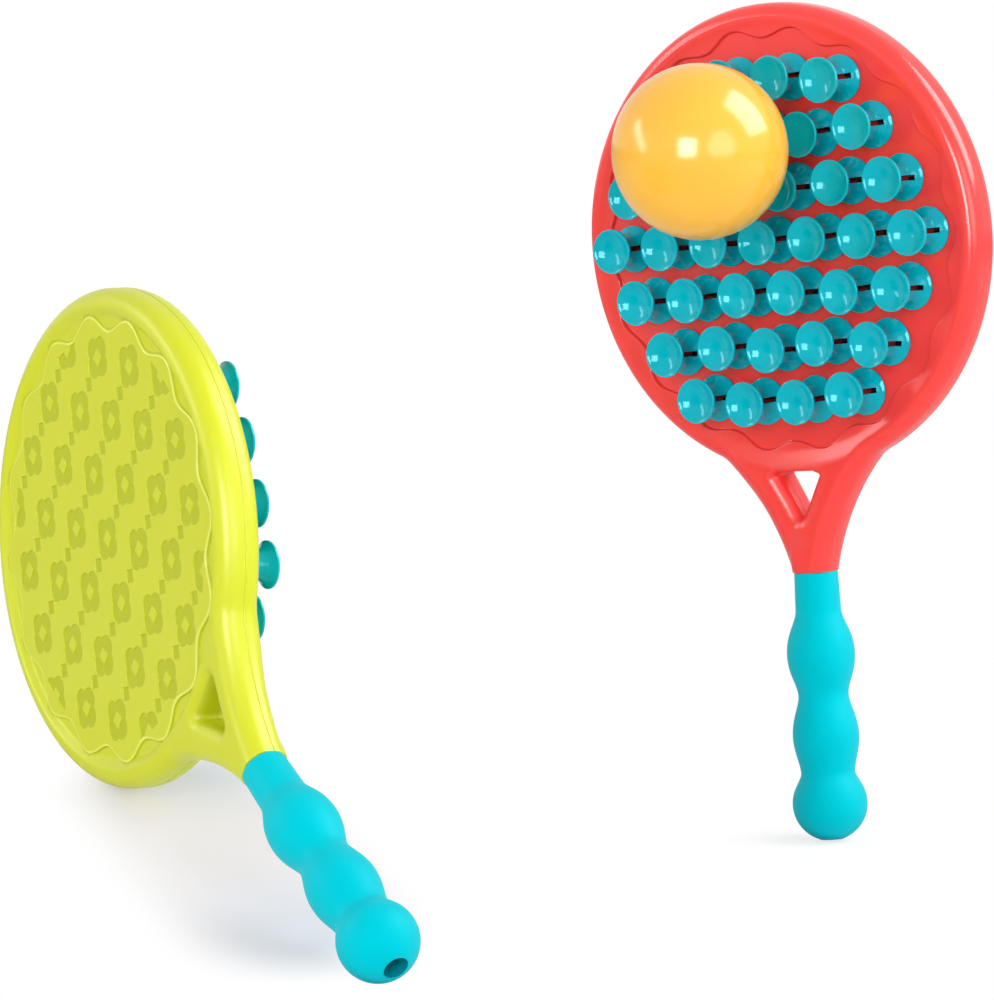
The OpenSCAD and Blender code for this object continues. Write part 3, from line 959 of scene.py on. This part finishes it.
grip_elastomer = satin_elastomer()
grip_made = turn_piece("grip", grip_line(), segments=96, material=grip_elastomer)
grip_mesh = bmesh.new()
grip_mesh.from_mesh(grip_made.data)
bpy.data.objects.remove(grip_made)
# The handle leans, so the sleeve's top is slanted to lie flush on the throat
for v in grip_mesh.verts:
    v.co.z += max(1 - v.co.z / slant_over, 0) * v.co.y * math.tan(grip_lean)
# Shade is painted in the hole of the grip's end
covered = grip_mesh.verts.layers.float.new("covered")
for v in grip_mesh.verts:
    v[covered] = float(v.co.xy.length < end_hole_r + hair and v.co.z > core_len + hair)
grip_mesh.transform(down_handle)
for colour in place:
    grip = show(colour + "_grip_sleeve", grip_mesh, colour, grip_elastomer)
    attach(grip, colour + "_paddle")
    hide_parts(colour + "_grip")

# Ball
# A hollow ball of glossy vinyl, cast in one piece and polished, light enough for the cups to hold.
# A hair-thin casting line runs round it.
ball_d, ball_wall = 64.6, 1.6
line_w, line_up = 0.7, 0.04
low, high = (Vector(corner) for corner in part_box("ball"))
ball_mid = (low + high) / 2


def ball_line(radius, line, steps):
    points = []
    for i in range(steps + 1):
        t = math.pi * i / steps
        h = radius * math.cos(t)
        r = radius + line * math.exp(-(h / line_w) ** 2)
        points.append((r * math.sin(t), -r * math.cos(t)))
    points[0], points[-1] = (0, points[0][1]), (0, points[-1][1])
    return points


def glossy_vinyl():
    """Polished vinyl: strong even colour and sharp reflections."""
    material = bpy.data.materials.new("glossy_ball_vinyl")
    material.use_nodes = True
    tree = material.node_tree
    shader = tree.nodes["Principled BSDF"]
    spot = add(tree, "ShaderNodeTexCoord").outputs["Object"]
    # Thickness varies over some 25 mm, which shifts the colour a little
    cloud = add(tree, "ShaderNodeTexNoise", {"Vector": spot, "Scale": 40.0, "Detail": 1.0})
    hue = add(tree, "ShaderNodeMix", {
        "Factor": cloud.outputs["Fac"], "A": srgb("#fab434"), "B": srgb("#fcbc3c"),
    }, data_type="RGBA")
    rough = add(tree, "ShaderNodeMapRange", {"Value": cloud.outputs["Fac"], "To Min": 0.15, "To Max": 0.2})
    tree.links.new(hue.outputs["Result"], shader.inputs["Base Color"])
    tree.links.new(rough.outputs["Result"], shader.inputs["Roughness"])
    shader.inputs["IOR"].default_value = 1.53
    return material


ball_vinyl = glossy_vinyl()
outer = ball_line(ball_d / 2, line_up, steps=120)
inner = ball_line(ball_d / 2 - ball_wall, 0, steps=40)
skin = turn_piece("vinyl_ball", outer, segments=144, material=ball_vinyl)
inside = turn_piece("ball_inside", inner, segments=48, material=ball_vinyl)
inside.data.flip_normals()
ball_mesh = bmesh.new()
for half in (skin, inside):
    ball_mesh.from_mesh(half.data)
ball_turn = Matrix.Rotation(math.pi / 2, 4, "X")
ball_mesh.transform(Matrix.Translation(ball_mid) @ Matrix.Scale(0.001, 4) @ ball_turn)
ball_mesh.to_mesh(skin.data)
skin.data.materials.clear()
skin.data.materials.append(ball_vinyl)
skin.data.polygons.foreach_set("material_index", [0] * len(skin.data.polygons))
skin.data.shade_smooth()
bpy.data.objects.remove(inside)
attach(skin, "ball")
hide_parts("ball")

# Floor and table
# A plain white floor under the coral paddle's end, and a white table that slopes up under the lime
# paddle, which lies on its end and its rim. Both show only the soft shadows near the paddles.
floor_z = min(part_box("coral_grip")[0][2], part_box("lime_grip")[0][2])
table_slope = math.radians(14.48)
table_up = Vector((0, -math.sin(table_slope), math.cos(table_slope)))
table_at = min(
    table_up.dot(v.co) for part in ("grip_sleeve", "moulded_back", "moulded_front")
    for v in bpy.data.objects["lime_" + part].data.vertices
)


def white_board(name, glow, white, start, end, near, far, see_through):
    """Matt white board: near a line on it the camera sees its shadows, and past that only white, or
    through it. It glows a little, so that its shadows stay pale."""
    material = bpy.data.materials.new(name)
    material.use_nodes = True
    tree = material.node_tree
    tree.nodes.remove(tree.nodes["Principled BSDF"])
    seen = add(tree, "ShaderNodeLightPath").outputs["Is Camera Ray"]
    spot = add(tree, "ShaderNodeTexCoord").outputs["Object"]
    way = end - start
    from_start = add(tree, "ShaderNodeVectorMath", {0: spot, 1: start}, operation="SUBTRACT").outputs[0]
    along = add(tree, "ShaderNodeVectorMath", {
        0: from_start, 1: way / max(way.length_squared, 1e-9),
    }, operation="DOT_PRODUCT").outputs["Value"]
    along = add(tree, "ShaderNodeClamp", {"Value": along}).outputs[0]
    foot = add(tree, "ShaderNodeVectorMath", {0: way, "Scale": along}, operation="SCALE").outputs[0]
    away = add(tree, "ShaderNodeVectorMath", {0: from_start, 1: foot}, operation="DISTANCE")
    fade = add(tree, "ShaderNodeMapRange", {
        "Value": away.outputs["Value"], "From Min": near, "From Max": far,
    }, interpolation_type="SMOOTHSTEP").outputs["Result"]
    plain = add(tree, "ShaderNodeBsdfDiffuse", {"Color": (0.8, 0.8, 0.8, 1)})
    shaded = add(tree, "ShaderNodeBsdfDiffuse", {"Color": (*white, 1)})
    lit = add(tree, "ShaderNodeEmission", {"Strength": glow})
    shown = add(tree, "ShaderNodeAddShader", {0: shaded.outputs[0], 1: lit.outputs[0]})
    rest = add(tree, "ShaderNodeEmission")
    shown = add(tree, "ShaderNodeMixShader", {0: fade, 1: shown.outputs[0], 2: rest.outputs[0]})
    if see_through:
        under = add(tree, "ShaderNodeNewGeometry").outputs["Backfacing"]
        past = add(tree, "ShaderNodeMath", {0: fade, 1: 0.999}, operation="GREATER_THAN").outputs[0]
        gone = add(tree, "ShaderNodeMath", {0: past, 1: under}, operation="MAXIMUM").outputs[0]
        clear = add(tree, "ShaderNodeBsdfTransparent")
        shown = add(tree, "ShaderNodeMixShader", {0: gone, 1: shown.outputs[0], 2: clear.outputs[0]})
    both = add(tree, "ShaderNodeMixShader", {0: seen, 1: plain.outputs[0], 2: shown.outputs[0]})
    tree.links.new(both.outputs[0], tree.nodes["Material Output"].inputs["Surface"])
    return material


def board(name, corners, material):
    data = bpy.data.meshes.new(name)
    data.from_pydata(corners, [], [(0, 1, 2, 3)])
    data.materials.append(material)
    made = bpy.data.objects.new(name, data)
    bpy.context.scene.collection.objects.link(made)


def on_table(x, y):
    return Vector((x, y, (table_at - table_up.y * y) / table_up.z))


coral_end = place["coral"] @ down_handle @ Vector((0, 0, end_at))
coral_end.z = floor_z
floor_white = white_board(
    "white_floor", glow=0.76, white=(0.26, 0.26, 0.26), start=coral_end, end=coral_end,
    near=0.01, far=0.045, see_through=False,
)
floor_half = 20.0
floor_corners = [(x * floor_half, y * floor_half, floor_z) for x, y in ((-1, -1), (1, -1), (1, 1), (-1, 1))]
board("floor", floor_corners, floor_white)
under_head, under_grip = on_table(-0.232, -0.13), on_table(-0.19, -0.24)
table_white = white_board(
    "white_table", glow=0.18, white=(0.63, 0.6, 0.64), start=under_head, end=under_grip,
    near=0.012, far=0.05, see_through=True,
)
table_corners = [(-0.44, -0.42), (-0.06, -0.42), (-0.06, 0.0), (-0.44, 0.0)]
board("table", [on_table(x, y) for x, y in table_corners], table_white)

# Light
# A white studio: even light from all round, a soft box high on the right, a window of light beside the
# camera, a round screen on its other side, a thin strip on the left and a fill on each side. A small
# lamp reaches the lime paddle's cups, which the coral paddle shades.
world = bpy.data.worlds.new("white_studio")
bpy.context.scene.world = world
world.use_nodes = True
tree = world.node_tree
sky_level = 0.45
path = add(tree, "ShaderNodeLightPath")
shown = add(tree, "ShaderNodeMath", {
    0: path.outputs["Is Camera Ray"], 1: path.outputs["Is Glossy Ray"],
}, operation="MAXIMUM")
shown = add(tree, "ShaderNodeMath", {
    0: shown.outputs[0], 1: path.outputs["Is Transmission Ray"],
}, operation="MAXIMUM")
level = add(tree, "ShaderNodeMapRange", {"Value": shown.outputs[0], "To Min": sky_level, "To Max": 1.0})
tree.links.new(level.outputs["Result"], tree.nodes["Background"].inputs["Strength"])
tree.nodes["Background"].inputs["Color"].default_value = (1, 1, 1, 1)


shine_at = 0.99


def soft_box(
    name, way, distance, width, height, light, shine, roll=0, shape="RECTANGLE", aim=ball_mid, fan=180
):
    """A lamp in that direction from where it aims: the power that lights, and that reflects. What
    reflects hangs just in front of what lights."""
    way = Vector(way).normalized()
    turn = way.to_track_quat("Z", "Y").to_matrix() @ Matrix.Rotation(math.radians(roll), 3, "Z")
    for use, power, at in (("light", light, distance), ("shine", shine, distance * shine_at)):
        if power:
            lamp = bpy.data.lights.new(f"{name}_{use}", "AREA")
            lamp.shape = shape
            lamp.size, lamp.size_y = width, height
            lamp.energy = power
            lamp.spread = math.radians(fan)
            box = bpy.data.objects.new(f"{name}_{use}", lamp)
            box.location = aim + way * at
            box.rotation_euler = turn.to_euler()
            box.visible_glossy = use == "shine"
            box.visible_diffuse = use == "light"
            bpy.context.scene.collection.objects.link(box)


soft_box("key_box", (0.76, -0.06, 0.65), 1.6, 1.0, 1.3, 18, 34)
soft_box("front_window", (-0.31, -0.946, 0.094), 5.0, 1.92, 2.5, 106, 230)
soft_box("round_screen", (0.442, -0.879, 0.177), 5.0, 3.3, 3.3, 58, 90, shape="ELLIPSE")
soft_box("left_strip", (-0.969, 0.026, 0.245), 1.5, 0.25, 0.95, 2.6, 4.2, roll=50)
soft_box("left_fill", (-0.9, -0.42, 0.12), 2.0, 1.4, 1.4, 7.5, 0)
soft_box("right_fill", (0.95, -0.3, 0.05), 2.0, 1.4, 1.4, 8, 0)
lime_side = place["lime"] @ Vector((-head_r, 0, waist_h))
soft_box("edge_lamp", (0.5, -0.86, 0.05), 0.6, 0.2, 0.2, 0.05, 0, aim=lime_side, fan=40)
bpy.context.scene.view_settings.view_transform = "Standard"

# Camera
# The view of a catalogue photograph, level across and tipped down a little. Its long lens, far from
# the set, keeps the two paddles nearly free of perspective.
camera_at = Vector((-0.12175, -2.219152, 0.316091))
camera_tip = 83.681
lens_mm = 216.0
camera_data = bpy.data.cameras.new("camera")
camera_data.lens = lens_mm
camera_data.sensor_width = 36.0
camera_data.clip_end = 100.0
camera = bpy.data.objects.new("camera", camera_data)
camera.location = camera_at
camera.rotation_euler = (math.radians(camera_tip), 0, 0)
bpy.context.scene.collection.objects.link(camera)
bpy.context.scene.camera = camera
